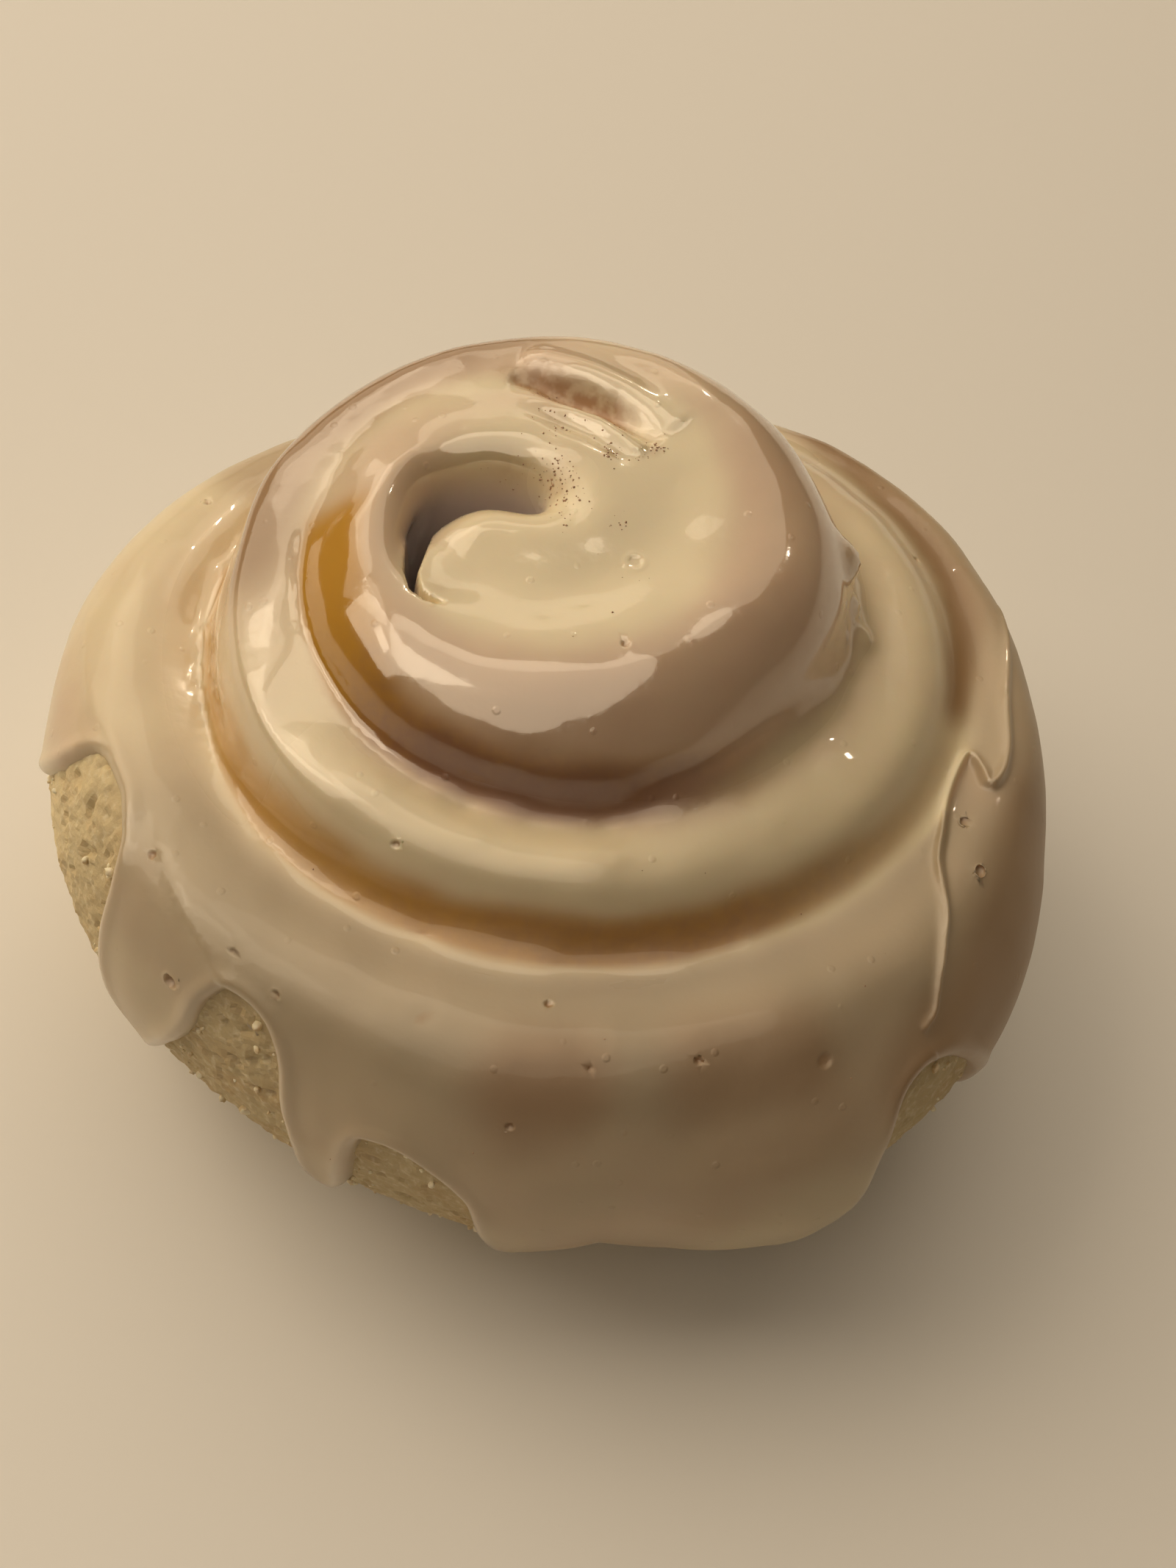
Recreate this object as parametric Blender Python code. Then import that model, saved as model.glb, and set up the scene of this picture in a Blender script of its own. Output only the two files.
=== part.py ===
"""A glazed cinnamon roll: one strip of yeast dough rolled up round a cinnamon filling.

Metres, +Z up, front towards -Y. The origin is on the surface that the roll stands on, under the
middle of its bounding box. Angles are in degrees, anticlockwise seen from above, from +X.

The strip is described by one running angle that counts on past 360 as the strip winds outwards.
It starts at the knob in the middle (START) and ends in a thin flap at the back (END).
The table WALL says how far each turn's outer wall is from the middle of the spiral. The next turn
begins SEAM beyond that wall, and the cinnamon filling lies in between.
"""

import math

import bpy
import numpy as np

MM = 0.001

# The strip along its running angle, with a few closer sections where the knob is rounded.
START = 186
END = 1536
STEP = 10
ROUNDED_START = (186, 188, 191)
TURN = 360
SEAM = 1.7 * MM

# The side of the roll: narrow at the foot, widest at WAIST_Z, then rounded over at the shoulder.
ROLL_RADIUS = 54 * MM
WAIST_Z = 25 * MM
FOOT_INSET = 10.5 * MM
FOOT_CURVE = 2.2
FOOT_EDGE = 0.8 * MM
LEVELS = (6 * MM, 12 * MM, 18 * MM, WAIST_Z)

# The middle of the spiral drifts from the hollow beside the knob to the middle of the roll.
HOLLOW_CENTRE = np.array((-4.28, 5.61)) * MM
ROLL_CENTRE = np.array((-0.48, 3.31)) * MM
DRIFT_FROM = 10 * MM
DRIFT_TO = 34 * MM

# Running angle to outer wall radius, in millimetres.
WALL = (
    (186, 8.2), (190, 10.2), (196, 11.6), (206, 12.6), (218, 13.0), (235, 12.9), (250, 11.0),
    (268, 9.3), (290, 8.5), (325, 9.2), (350, 10.4), (375, 12.0), (402, 13.0), (433, 13.6),
    (453, 13.8), (474, 14.6), (500, 17.0), (525, 20.4), (545, 23.4), (590, 25.6), (630, 25.2),
    (680, 24.8), (730, 28.0), (780, 29.5), (830, 31.0), (870, 33.0), (910, 34.4), (950, 35.4),
    (990, 33.8), (1020, 34.0), (1050, 36.4), (1090, 40.0), (1120, 41.0), (1150, 41.2),
    (1180, 41.8), (1205, 43.2), (1230, 46.6), (1255, 50.2), (1275, 52.6), (1290, 53.2),
    (1304, 52.6), (1320, 51.2), (1335, 51.2), (1350, 52.6), (1368, 53.2), (1383, 55.2),
    (1400, 56.0), (1415, 55.2), (1430, 53.2), (1445, 51.6), (1460, 50.4), (1480, 49.4),
    (1500, 48.2), (1520, 46.6), (1540, 45.0),
)

# Running angle to the height of the strip's rounded top, in millimetres. The middle has risen out.
CREST = (
    (186, 52.0), (196, 56.4), (215, 58.2), (250, 59.4), (330, 60.0), (400, 61.4),
    (450, 61.6), (500, 61.2), (545, 60.8), (630, 60.2), (700, 60.8), (750, 62.0),
    (800, 62.8), (840, 61.4), (880, 57.6), (910, 55.0), (950, 52.2), (990, 50.0),
    (1040, 48.4), (1090, 46.6), (1140, 43.0), (1180, 39.4), (1210, 38.6), (1240, 40.4),
    (1270, 43.4), (1310, 43.4), (1350, 42.4), (1440, 42.0), (1480, 40.4), (1520, 36.0),
    (1540, 32.0),
)

# Running angle to where the top is highest, in thousandths of the way from inner to outer wall.
SUMMIT = (
    (186, 500), (500, 480), (560, 560), (640, 620), (700, 560), (760, 380), (810, 260),
    (860, 360), (920, 460), (1540, 440),
)

# Running angle to the inner wall's radius, in millimetres, at the knob and the hollow beside it:
# where the hollow is open at the top, and where it has closed further down.
HOLLOW = (
    (186, 5.4), (190, 3.2), (196, 1.8), (206, 1.2), (420, 1.6), (450, 3.4), (480, 5.0),
    (505, 7.8), (530, 10.6), (555, 13.2), (580, 14.7),
)
HOLLOW_CLOSED = (
    (186, 5.4), (190, 3.2), (196, 1.8), (206, 1.2), (526, 1.2), (536, 13.8), (580, 14.7),
)
HOLLOW_FLOOR = 26 * MM
HOLLOW_OPEN = 46 * MM

# The rounded top of a section: how far its inner and outer faces start below its crest.
INNER_DROP = 5 * MM
SHOULDER_UNDER_NEXT = 5 * MM
SIDE_DROP = 17 * MM
LEAST_DROP = 6.5 * MM
ARC_STEPS = 4

# The filling stops short of the top of the groove that it lies in.
FILLING = 1.0 * MM
FILLING_START = 236
FILLING_END = 1166
FILLING_BELOW_CREST = 3.4 * MM
FILLING_FOOT = 0.4 * MM

DOUGH_COLOUR = (0.80, 0.62, 0.36, 1)
FILLING_COLOUR = (0.20, 0.07, 0.02, 1)


def along(table, angle):
    """The table's value at a running angle, on a smooth curve that never overshoots its points."""
    angles, values = np.array(table, float).T
    widths = np.diff(angles)
    rises = np.diff(values) / widths
    before, after = rises[:-1], rises[1:]
    slopes = np.zeros(len(values))
    turning = before * after <= 0
    slopes[1:-1] = np.where(turning, 0, 2 * before * after / np.where(turning, 1, before + after))
    i = int(np.clip(np.searchsorted(angles, angle) - 1, 0, len(widths) - 1))
    t = np.clip((angle - angles[i]) / widths[i], 0, 1)
    ends = values[i] * (1 + 2 * t) * (1 - t) ** 2 + values[i + 1] * t * t * (3 - 2 * t)
    bends = slopes[i] * t * (1 - t) ** 2 - slopes[i + 1] * t * t * (1 - t)
    return (ends + widths[i] * bends) * MM


def smooth(t):
    t = min(max(t, 0), 1)
    return t * t * (3 - 2 * t)


def place(angle, radius, z):
    """The point at a running angle, radius and height, with the foot drawn in and the middle off centre."""
    below = max(0, 1 - z / WAIST_Z)
    drift = smooth((radius - DRIFT_FROM) / (DRIFT_TO - DRIFT_FROM))
    x, y = HOLLOW_CENTRE + (ROLL_CENTRE - HOLLOW_CENTRE) * drift
    drawn = radius - FOOT_INSET * below**FOOT_CURVE * (radius / ROLL_RADIUS) ** 3
    turn = math.radians(angle)
    return x + drawn * math.cos(turn), y + drawn * math.sin(turn), z


def inner_wall(angle, z):
    """Where the strip's inner face is: a seam outside the turn before, or round the hollow."""
    if angle >= START + TURN + 4 * STEP:
        return along(WALL, angle - TURN) + SEAM
    opening = smooth((z - HOLLOW_FLOOR) / (HOLLOW_OPEN - HOLLOW_FLOOR))
    closed = along(HOLLOW_CLOSED, angle)
    return closed + (along(HOLLOW, angle) - closed) * opening


def outer_drop(angle):
    """How far the strip's outer face starts below its crest: just under the next turn's crest."""
    if angle + TURN > END:
        return SIDE_DROP
    step_down = along(CREST, angle) - along(CREST, angle + TURN)
    return max(LEAST_DROP, step_down + SHOULDER_UNDER_NEXT)


def dough_section(angle):
    """The strip's outline at one running angle, anticlockwise from its foot's inner edge."""
    outer, crest_z = along(WALL, angle), along(CREST, angle)
    foot, inner = inner_wall(angle, 0), inner_wall(angle, crest_z)
    edge = min(FOOT_EDGE, (outer - foot) / 4)
    crest = inner + (outer - inner) * along(SUMMIT, angle)
    outer_z = max(LEVELS[-1] + MM, crest_z - outer_drop(angle))
    outline = [(foot, edge), (foot + edge, 0), (outer - edge, 0), (outer, edge)]
    outline += [(outer, z) for z in LEVELS]
    for step in range(ARC_STEPS + 1):
        turn = math.pi / 2 * step / ARC_STEPS
        radius = crest + (outer - crest) * math.cos(turn)
        outline.append((radius, outer_z + (crest_z - outer_z) * math.sin(turn)))
    for step in range(1, ARC_STEPS + 1):
        turn = math.pi / 2 * step / ARC_STEPS
        radius = crest - (crest - inner) * math.sin(turn)
        outline.append((radius, crest_z - INNER_DROP * (1 - math.cos(turn))))
    outline += [(inner_wall(angle, z), z) for z in reversed(LEVELS)]
    return [place(angle, radius, z) for radius, z in outline]


def filling_section(angle):
    """The filling's outline in the seam outside the strip at one running angle."""
    wall = along(WALL, angle) + (SEAM - FILLING) / 2
    lower_crest = min(along(CREST, angle), along(CREST, angle + TURN))
    levels = (FILLING_FOOT, *LEVELS, lower_crest - FILLING_BELOW_CREST)
    outline = [(wall + FILLING, z) for z in levels]
    outline += [(wall, z) for z in reversed(levels)]
    return [place(angle, radius, z) for radius, z in outline]


def loft(name, sections, material, collection):
    """A closed solid through sections that have the same number of points, with a flat cap at each end."""
    count = len(sections[0])
    faces = []
    for row in range(len(sections) - 1):
        for column in range(count):
            here, after = row * count + column, row * count + (column + 1) % count
            faces.append((here, here + count, after + count, after))
    faces.append(tuple(range(count)))
    last = (len(sections) - 1) * count
    faces.append(tuple(last + column for column in reversed(range(count))))
    mesh = bpy.data.meshes.new(name)
    mesh.from_pydata([point for section in sections for point in section], [], faces)
    mesh.materials.append(material)
    mesh.shade_smooth()
    piece = bpy.data.objects.new(name, mesh)
    collection.objects.link(piece)
    return piece


def finish(name, colour, roughness):
    """A Principled material."""
    material = bpy.data.materials.new(name)
    material.use_nodes = True
    shader = material.node_tree.nodes["Principled BSDF"]
    shader.inputs["Base Color"].default_value = colour
    shader.inputs["Roughness"].default_value = roughness
    shader.inputs["Metallic"].default_value = 0
    return material


for leftover in list(bpy.data.objects):
    bpy.data.objects.remove(leftover)

roll = bpy.data.collections.new("cinnamon_roll")
bpy.context.scene.collection.children.link(roll)

loft(
    "dough",
    [dough_section(angle) for angle in (*ROUNDED_START, *range(START + STEP, END + 1, STEP))],
    finish("dough", DOUGH_COLOUR, 0.6),
    roll,
)
loft(
    "filling",
    [filling_section(angle) for angle in range(FILLING_START, FILLING_END + 1, STEP)],
    finish("filling", FILLING_COLOUR, 0.5),
    roll,
)
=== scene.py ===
import math

import bpy
import numpy as np
from mathutils import Matrix, Vector, noise
from mathutils.bvhtree import BVHTree


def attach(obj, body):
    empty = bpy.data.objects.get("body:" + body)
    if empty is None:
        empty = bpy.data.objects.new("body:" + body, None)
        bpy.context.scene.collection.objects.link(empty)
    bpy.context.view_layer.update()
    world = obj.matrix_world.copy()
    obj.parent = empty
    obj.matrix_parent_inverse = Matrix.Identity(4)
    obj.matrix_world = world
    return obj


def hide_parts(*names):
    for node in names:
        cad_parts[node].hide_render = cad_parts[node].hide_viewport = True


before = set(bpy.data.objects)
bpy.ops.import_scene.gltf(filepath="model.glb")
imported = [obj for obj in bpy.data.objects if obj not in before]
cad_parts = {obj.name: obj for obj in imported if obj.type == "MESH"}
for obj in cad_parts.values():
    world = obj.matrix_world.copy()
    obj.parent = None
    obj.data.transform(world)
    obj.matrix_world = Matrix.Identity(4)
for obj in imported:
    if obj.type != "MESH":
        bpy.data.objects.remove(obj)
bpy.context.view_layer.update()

MM = 0.001


# The glaze: a thick sugar icing that was poured over the warm roll. It pools in the grooves between the
# turns, is thin where the dough is steep, and runs down the outside in round lobes that leave bare dough.

ROLL_MIDDLE = np.array((-0.48, 3.31)) * MM
HOLLOW_MIDDLE = np.array((-4.28, 5.61)) * MM
TURN_RADIUS = 34 * MM
TURN_HEIGHT = 24 * MM
TURN_THICKNESS = 20.5 * MM
WALL_RADIUS = 52 * MM
GLAZE_THICKNESS = 1.1 * MM
GLAZE_IN_SEAM = 0.8 * MM
GLAZE_ON_KNOB = 0.4 * MM
GLAZE_CUT_AT_HOLLOW = 1.2 * MM
GLAZE_GRAIN = 0.93 * MM
MERGE = 0.001 * MM


def choose(*pieces):
    bpy.ops.object.select_all(action="DESELECT")
    for piece in pieces:
        piece.select_set(True)
    bpy.context.view_layer.objects.active = pieces[0]


def copy_of(node, name):
    """A piece with a CAD node's shape, its triangles merged and turned to quads."""
    piece = bpy.data.objects.new(name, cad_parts[node].data.copy())
    piece.data.name = name
    bpy.context.collection.objects.link(piece)
    choose(piece)
    bpy.ops.mesh.customdata_custom_splitnormals_clear()
    bpy.ops.object.mode_set(mode="EDIT")
    bpy.ops.mesh.select_all(action="SELECT")
    bpy.ops.mesh.remove_doubles(threshold=MERGE)
    bpy.ops.mesh.tris_convert_to_quads(face_threshold=1.2, shape_threshold=1.5)
    bpy.ops.object.mode_set(mode="OBJECT")
    return piece


def apply_modifier(piece, kind, **settings):
    choose(piece)
    modifier = piece.modifiers.new(kind, kind)
    for setting, value in settings.items():
        setattr(modifier, setting, value)
    bpy.ops.object.modifier_apply(modifier=modifier.name)


def round_off(piece, levels):
    apply_modifier(piece, "SUBSURF", levels=levels, render_levels=levels)


def smooth(piece, iterations):
    apply_modifier(piece, "SMOOTH", factor=0.5, iterations=iterations)


def subdivide(piece, chosen, smoothness=0.0):
    """Cuts the faces whose corners are all chosen in four."""
    choose(piece)
    bpy.context.tool_settings.mesh_select_mode = (False, False, True)
    bpy.ops.object.mode_set(mode="EDIT")
    bpy.ops.mesh.select_all(action="DESELECT")
    bpy.ops.object.mode_set(mode="OBJECT")
    for face in piece.data.polygons:
        face.select = all(chosen[corner] for corner in face.vertices)
    bpy.ops.object.mode_set(mode="EDIT")
    bpy.ops.mesh.subdivide(smoothness=smoothness)
    bpy.ops.object.mode_set(mode="OBJECT")


def points(piece):
    found = np.zeros(len(piece.data.vertices) * 3)
    piece.data.vertices.foreach_get("co", found)
    return found.reshape(-1, 3)


def normals(piece):
    found = np.zeros(len(piece.data.vertices) * 3, np.float32)
    piece.data.vertex_normals.foreach_get("vector", found)
    return found.reshape(-1, 3).astype(float)


def put(piece, found):
    piece.data.vertices.foreach_set("co", found.reshape(-1).astype(np.float32))
    piece.data.update()


def ease(value, start, end):
    """0 up to start, 1 from end on, and a smooth step in between."""
    t = np.clip((value - start) / (end - start), 0, 1)
    return t * t * (3 - 2 * t)


def read_off(table, value, column=1):
    """What a table has for a value of its first column, evened out between its rows."""
    rows = np.array(table)
    return np.interp(value, rows[:, 0], rows[:, column])


def polar(found, middle):
    """Angle, from 0 to 360 degrees, and radius of points about a middle."""
    x, y = (found[:, :2] - middle).T
    return np.degrees(np.arctan2(y, x)) % 360, np.hypot(x, y)


def sector(angle, low, high, soft):
    """1 for angles from low to high, anticlockwise, with soft ends."""
    off = np.abs((angle - (low + high) / 2 + 180) % 360 - 180)
    return 1 - ease(off, (high - low) / 2 - soft / 2, (high - low) / 2 + soft / 2)


def rounds(found):
    """Angle round the roll, and angle round the outer turn's own middle, in degrees."""
    angle, radius = polar(found, ROLL_MIDDLE)
    return angle, np.degrees(np.arctan2(found[:, 2] - TURN_HEIGHT, radius - TURN_RADIUS))


def bell(value, middle, width, power=2):
    """1 where a value is at its middle, and 0 well beyond its width. It is flatter for a higher power."""
    return np.exp(-np.abs((value - middle) / width) ** power)


def near(found, middle, size, power):
    """1 at a place and 0 well beyond its size. Both are in millimetres."""
    return bell(np.linalg.norm(found - np.array(middle) * MM, axis=1), 0, size * MM, power)


def from_hollow(found):
    """The direction, in plan, from the hollow's middle to each point."""
    off = np.pad(found[:, :2] - HOLLOW_MIDDLE, ((0, 0), (0, 1)))
    return off / np.linalg.norm(off, axis=1)[:, None]


def glaze_coat(found, facing):
    """How thick the glaze first lies on the dough: thinner in the hollow, where the turns are close."""
    angle, radius = polar(found, HOLLOW_MIDDLE)
    outward = np.sum(facing[:, :2] * (found[:, :2] - HOLLOW_MIDDLE), 1) / np.maximum(radius, MM)
    by_hollow = ease(radius, 19 * MM, 16 * MM) * sector(angle, 165, 250, 30)
    by_hollow *= ease(found[:, 2], 24 * MM, 30 * MM) * ease(found[:, 2], 57 * MM, 52 * MM)
    knob = ease(radius, 15 * MM, 12 * MM) * sector(angle, 170, 260, 20)
    coat = GLAZE_THICKNESS - (GLAZE_THICKNESS - GLAZE_ON_KNOB) * knob
    cut = by_hollow * ease(-outward, 0.0, 0.5)
    return coat * (1 - cut) - GLAZE_CUT_AT_HOLLOW * cut


glaze = copy_of("dough", "glaze")
round_off(glaze, 2)
put(glaze, points(glaze) + normals(glaze) * glaze_coat(points(glaze), normals(glaze))[:, None])
glaze_in_seam = copy_of("filling", "glaze_in_seam")
round_off(glaze_in_seam, 2)
put(glaze_in_seam, points(glaze_in_seam) + normals(glaze_in_seam) * GLAZE_IN_SEAM)
choose(glaze, glaze_in_seam)
bpy.ops.object.join()
apply_modifier(glaze, "REMESH", mode="VOXEL", voxel_size=GLAZE_GRAIN, use_smooth_shade=True)
smooth(glaze, 4)

# It fills the groove right of the knob and the one behind the hollow, and lies level right of the dome.
# This is the hollow's rim: angle about the hollow, and radius in millimetres.
RIM = ((60, 3.2), (90, 3.6), (120, 5.2), (145, 8), (170, 11), (195, 13.6), (220, 15))
HOLLOW_OVERHANG = 0.9 * MM


def filled_places(spots):
    """1 where the glaze fills the grooves level, 0 where it lies as it is."""
    angle, radius = polar(spots, HOLLOW_MIDDLE)
    from_rim = radius - read_off(RIM, angle) * MM
    by_knob = sector(angle, 222, 450, 16) * ease(radius, 20 * MM, 18 * MM)
    by_hollow = sector(angle, 70, 172, 16) * ease(from_rim, 2.0 * MM, 4.5 * MM)
    by_hollow *= ease(radius, 27 * MM, 24 * MM)
    beside = sector(angle, -52, 62, 24) * ease(radius, 23 * MM, 25.5 * MM) * ease(radius, 38 * MM, 35 * MM)
    top = ease(spots[:, 2], 40 * MM, 48 * MM)
    return np.maximum(np.maximum(by_knob, by_hollow) * top, beside * ease(spots[:, 2], 30 * MM, 36 * MM))


def levelled_places(spots):
    """1 beside the knob, on the dome's top and right of the dome, where the glaze has levelled out."""
    angle, radius = polar(spots, HOLLOW_MIDDLE)
    from_rim = radius - read_off(RIM, angle) * MM
    level = sector(angle, 240, 410, 30) * ease(radius, 5 * MM, 8 * MM) * ease(radius, 20 * MM, 16 * MM)
    far = ease(radius, 22 * MM, 17 * MM) * ease(from_rim, 2.5 * MM, 5 * MM)
    level = np.maximum(level, sector(angle, 60, 194, 16) * far) * ease(spots[:, 2], 52 * MM, 56 * MM)
    right = sector(angle, -62, 72, 24) * ease(radius, 27 * MM, 29.5 * MM) * ease(radius, 39.5 * MM, 36.5 * MM)
    right *= ease(spots[:, 2], 36 * MM, 40 * MM)
    return np.maximum(level, right * ease(spots[:, 2], 53 * MM, 50 * MM))


def smooth_where(piece, iterations, share, fill_only=False):
    """Smooths a piece by a share at each point, or only fills its hollows, as a liquid that pools."""
    spots, facing = points(piece), normals(piece)
    smooth(piece, iterations)
    moved = points(piece) - spots
    if fill_only:
        moved = facing * np.maximum(np.sum(moved * facing, 1), 0)[:, None]
    put(piece, spots + moved * share[:, None])


def settle(piece, iterations, keep_crests):
    """Smooths a piece, but lets its crests sink by less."""
    spots, facing = points(piece), normals(piece)
    smooth(piece, iterations)
    moved = points(piece) - spots
    sunk = np.minimum(np.sum(moved * facing, 1), 0) * keep_crests
    put(piece, spots + moved - sunk[:, None] * facing)


for iterations in (40, 120, 120, 120, 40):
    smooth_where(glaze, iterations, filled_places(points(glaze)), True)
spots = points(glaze)
angle, radius = polar(spots, HOLLOW_MIDDLE)
overhang = sector(angle, 150, 232, 44) * ease(radius, 19 * MM, 22 * MM) * ease(radius, 29 * MM, 27 * MM)
overhang *= ease(spots[:, 2], 47 * MM, 53 * MM) * ease(spots[:, 2], 61.5 * MM, 57 * MM)
put(glaze, spots + from_hollow(spots) * (HOLLOW_OVERHANG * overhang)[:, None])
settle(glaze, 12, 0.7)
settle(glaze, 8, 0.3)
for iterations in (60, 60, 30):
    smooth_where(glaze, iterations, levelled_places(points(glaze)))

# The dome's left and front are rounded over: how far inside the groove at its foot, and how much lower it
# lies there than the dough's own shoulder. Then the groove's radius, by angle.
ROUNDED = ((0, 0), (1.5, 1.0), (3, 1.6), (4.6, 1.5), (6.5, 0.9), (8.5, 0.35), (11, 0))
ROUNDED_IN_FRONT = (
    (0, 0), (1.5, 1.2), (3, 2.0), (4.6, 2.1), (6.5, 1.65), (8.5, 1.0), (10.5, 0.45), (13, 0.1), (15, 0)
)
FOOT = ((180, 22.8), (190, 23.6), (200, 24.7), (215, 25.9), (235, 26.9), (250, 27.6), (300, 28.4), (340, 29))
spots = points(glaze)
angle, radius = polar(spots, HOLLOW_MIDDLE)
inside = read_off(FOOT, angle) - radius / MM
in_front = sector(angle, 246, 330, 30)
lower = read_off(ROUNDED, inside) * (1 - in_front)
lower += read_off(ROUNDED_IN_FRONT, inside) * in_front
lower *= MM * sector(angle, 190, 338, 36) * (inside > 0)
spots[:, 2] -= lower * ease(spots[:, 2], 50 * MM, 53 * MM)
put(glaze, spots)
for _ in range(2):
    spots = points(glaze)
    angle, radius = polar(spots, HOLLOW_MIDDLE)
    flank = sector(angle, 160, 262, 24) * ease(radius, 19 * MM, 22 * MM) * ease(radius, 31 * MM, 28 * MM)
    smooth_where(glaze, 12, flank * ease(spots[:, 2], 49 * MM, 52 * MM))

# Left of the dome it is banked up against it, and slopes outwards from there: angle, and radius and height
# where it meets the dome and at the turn's shoulder.
BANK = (
    (160, 22.0, 58.6, 26.0, 57.4), (180, 22.8, 57.9, 27.3, 56.2), (190, 23.6, 57.2, 28.1, 55.3),
    (200, 24.7, 56.4, 29.3, 54.4), (215, 25.9, 55.0, 31.0, 53.0), (235, 26.9, 53.1, 32.6, 51.4),
    (250, 27.6, 51.8, 33.6, 50.4),
)
spots = points(glaze)
angle, radius = polar(spots, HOLLOW_MIDDLE)
inner, inner_z, shoulder, shoulder_z = (read_off(BANK, angle, column) * MM for column in (1, 2, 3, 4))
t = (radius - inner) / (shoulder - inner)
bank = inner_z + (shoulder_z - inner_z) * np.where(t > 0, np.abs(t) ** 1.15, 0.7 * t)
share = sector(angle, 168, 240, 24) * ease(t, -0.35, -0.15) * ease(t, 1.25, 0.9)
share *= ease(spots[:, 2] - bank, 5 * MM, 3.5 * MM) * ease(bank - spots[:, 2], 4 * MM, 3 * MM)
spots[:, 2] += (bank - spots[:, 2]) * share
put(glaze, spots)
smooth(glaze, 3)

# It fills the outer groove in front and on the right.
for _ in range(3):
    spots = points(glaze)
    angle, radius = polar(spots, HOLLOW_MIDDLE)
    front = sector(angle, 196, 350, 30) * ease(radius, 33.5 * MM, 37 * MM) * ease(radius, 49 * MM, 46 * MM)
    front *= ease(spots[:, 2], 38 * MM, 41 * MM)
    right = sector(angle, -26, 66, 24) * ease(radius, 36.5 * MM, 39.5 * MM) * ease(radius, 49 * MM, 46 * MM)
    outer_groove = np.maximum(front, right * ease(spots[:, 2], 33 * MM, 36 * MM))
    smooth_where(glaze, 80, outer_groove, True)
    smooth_where(glaze, 10, outer_groove * ease(radius, 50 * MM, 44 * MM))

# The outer turn's front is rounder than the dough's own shoulder: by how much, by angle round the roll.
SHOULDER = (
    (236, 0), (255, 0.5), (268, 0.8), (280, 1.2), (293, 1.9), (305, 1.8), (320, 1.6), (335, 1.2), (352, 0.4),
    (360, 0),
)
SHOULDER_TILT = 43
SHOULDER_WIDTH = 17


def less_shoulder(found):
    """The points drawn in towards the middle of the outer turn where it is rounder."""
    angle, tilt = rounds(found)
    radius = polar(found, ROLL_MIDDLE)[1]
    rounder = read_off(SHOULDER, angle) * bell(tilt, SHOULDER_TILT, SHOULDER_WIDTH)
    rounder *= ease(found[:, 2], 30 * MM, 34 * MM) * (radius > 36 * MM)
    around, up = np.radians(angle), np.radians(tilt)
    away = np.stack([np.cos(up) * np.cos(around), np.cos(up) * np.sin(around), np.sin(up)], 1)
    return found - away * (rounder * MM)[:, None]


put(glaze, less_shoulder(points(glaze)))

# Places on the dome where it lies smoother, with their size and how often they are smoothed, and the crease
# in front of the knob, which is filled.
SMOOTH_PLACES = (
    ((-13.3, -3.2, 59), 3.4, 40), ((0.0, 8.0, 61.5), 5.0, 60), ((-8.5, 12.2, 61.6), 3.6, 40),
    ((-15.0, 10.6, 61.4), 3.6, 40), ((-25.3, 2.0, 58.2), 4.0, 60), ((-27.8, 5.0, 57.5), 3.5, 40),
    ((-3.0, 0.6, 60.6), 3.4, 60), ((-8.0, 20.5, 61.0), 4.0, 60), ((-1.0, 18.5, 61.5), 4.0, 60),
    ((5.0, 15.5, 61.5), 4.0, 60),
)
KNOB_CREASE = (-14.0, -3.6, 57.5)
KNOB_CREASE_SIZE = 3.6
for middle, size, iterations in SMOOTH_PLACES:
    smooth_where(glaze, iterations, near(points(glaze), middle, size, 4))
for _ in range(5):
    smooth_where(glaze, 60, near(points(glaze), KNOB_CREASE, KNOB_CREASE_SIZE, 4), True)
smooth(glaze, 2)
spots, facing = points(glaze), normals(glaze)
smooth(glaze, 12)
moved = points(glaze) - spots
groove = ease(np.sum(moved * facing, 1), 0.05 * MM, 0.2 * MM) * ease(spots[:, 2], 34 * MM, 38 * MM)
put(glaze, spots + moved * groove[:, None])

# It swells over the knob, and in lumps where it has run off the dome's right side: place, size, and how far
# it is pushed out, in a direction or along its normals.
SWELLS = (
    ((-9.5, 2.6, 57.5), 7, (0, 1.6, 1.6)), ((-13.0, -1.6, 57.5), 4.2, (-1.4, -0.3, 0.5)),
    ((25.0, 11.3, 54.0), 2.2, 1.6), ((26.8, 9.0, 50.5), 1.5, 1.0), ((28.0, 6.6, 48.0), 1.5, 0.9),
    ((24.6, 4.0, 50.5), 1.3, 0.7),
)
for middle, size, push in SWELLS:
    spots = points(glaze)
    push = np.array(push) * MM
    swollen = near(spots, middle, size, 2)[:, None]
    put(glaze, spots + swollen * (push if np.ndim(push) else push * normals(glaze)))


def off_path(spots, path):
    """Distance of points in a plane from a path, positive on its left, and where along it each is nearest."""
    best = np.full(len(spots), np.inf)
    side = np.zeros(len(spots))
    where = np.zeros(len(spots))
    for i, (start, stop) in enumerate(zip(path[:-1], path[1:])):
        run = stop - start
        t = np.clip((spots - start) @ run / (run @ run), 0, 1)
        off = spots - start - t[:, None] * run
        far = np.hypot(*off.T)
        nearer = far < best
        best = np.where(nearer, far, best)
        side = np.where(nearer, run[0] * off[:, 1] - run[1] * off[:, 0], side)
        where = np.where(nearer, i + t, where)
    return np.where(side >= 0, best, -best), where


def along(values, where):
    return np.interp(where, np.arange(len(values)), values)


def mottle(found, size):
    """Noise from -1 to 1 with grains of about this size."""
    return np.array([noise.noise(Vector(spot)) for spot in found / size])


def layered(found, layers, shift=0.0):
    """Noise in layers, each with its grain and its height in millimetres, and shifted from the last."""
    found = [found + i * shift for i in range(len(layers))]
    return sum(height * MM * mottle(at, grain * MM) for at, (grain, height) in zip(found, layers))


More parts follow.
